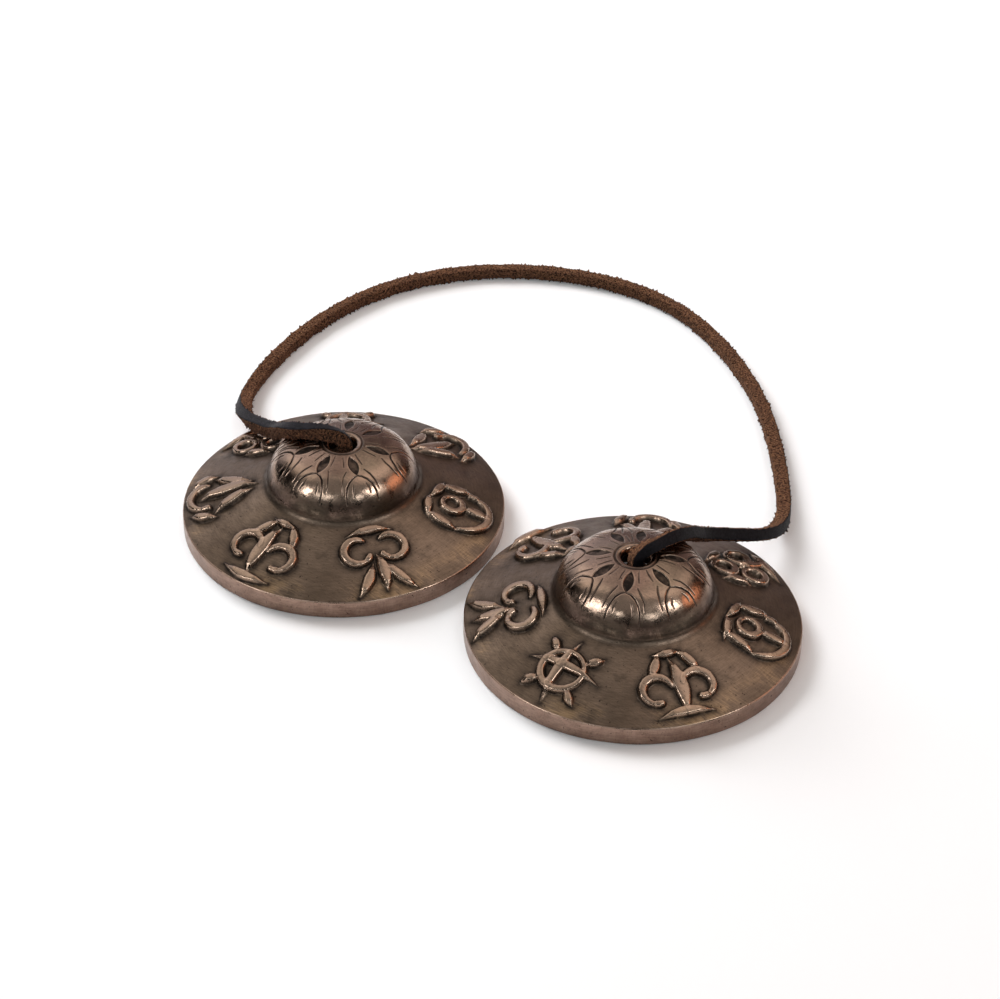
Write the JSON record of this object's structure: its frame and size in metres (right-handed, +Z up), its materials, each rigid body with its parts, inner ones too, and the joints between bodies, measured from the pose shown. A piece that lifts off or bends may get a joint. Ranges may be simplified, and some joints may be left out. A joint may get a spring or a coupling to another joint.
{
  "type": "finger cymbals",
  "caption": "Pair of domed bronze hand cymbals with a ring of raised ornaments, joined by a square leather thong knotted inside each dome and lying in a loop.",
  "frame": {"origin": "on the table, midway between the two cymbals", "axes": "+X from the left cymbal's centre to the right one's, +Y towards the loop of the thong, +Z up, out of the domes' crowns"},
  "size_m": [0.1475, 0.1408, 0.0225],
  "materials": {
    "antique_bronze": "dark antiqued bronze, hand polished on the dome, the raised ornaments and the rim",
    "leather_lace": "dark brown lace, smooth near-black grain on one side and rough suede on the others"
  },
  "bodies": {
    "thong_left": {"thong_left": "leather_lace"},
    "thong_right": {"thong_right": "leather_lace"},
    "knot_left": {"knot_left": "leather_lace"},
    "knot_right": {"knot_right": "leather_lace"},
    "cymbal_left": {"cymbal_left": "antique_bronze"},
    "cymbal_right": {"cymbal_right": "antique_bronze"}
  },
  "joints": [
    {"name": "loop_bend", "type": "hinge", "parent": "thong_left", "child": "thong_right", "pos_m": [-0.024, 0.1066, 0.0018], "axis": [0, 0, 1], "range_deg": [0, 60]},
    {"name": "swing_left", "type": "hinge", "parent": "thong_left", "child": "knot_left", "pos_m": [-0.0343, 0, 0.0202], "axis": [0, -1, 0], "range_deg": [0, 90]},
    {"name": "spin_left", "type": "hinge", "parent": "knot_left", "child": "cymbal_left", "pos_m": [-0.0337, 0, 0.0159], "axis": [0, 0, 1], "continuous": true},
    {"name": "swing_right", "type": "hinge", "parent": "thong_right", "child": "knot_right", "pos_m": [0.03402, 0.00051, 0.0202], "axis": [-0.848, 0.53, 0], "range_deg": [0, 90]},
    {"name": "spin_right", "type": "hinge", "parent": "knot_right", "child": "cymbal_right", "pos_m": [0.0337, 0, 0.0159], "axis": [0, 0, 1], "continuous": true}
  ]
}
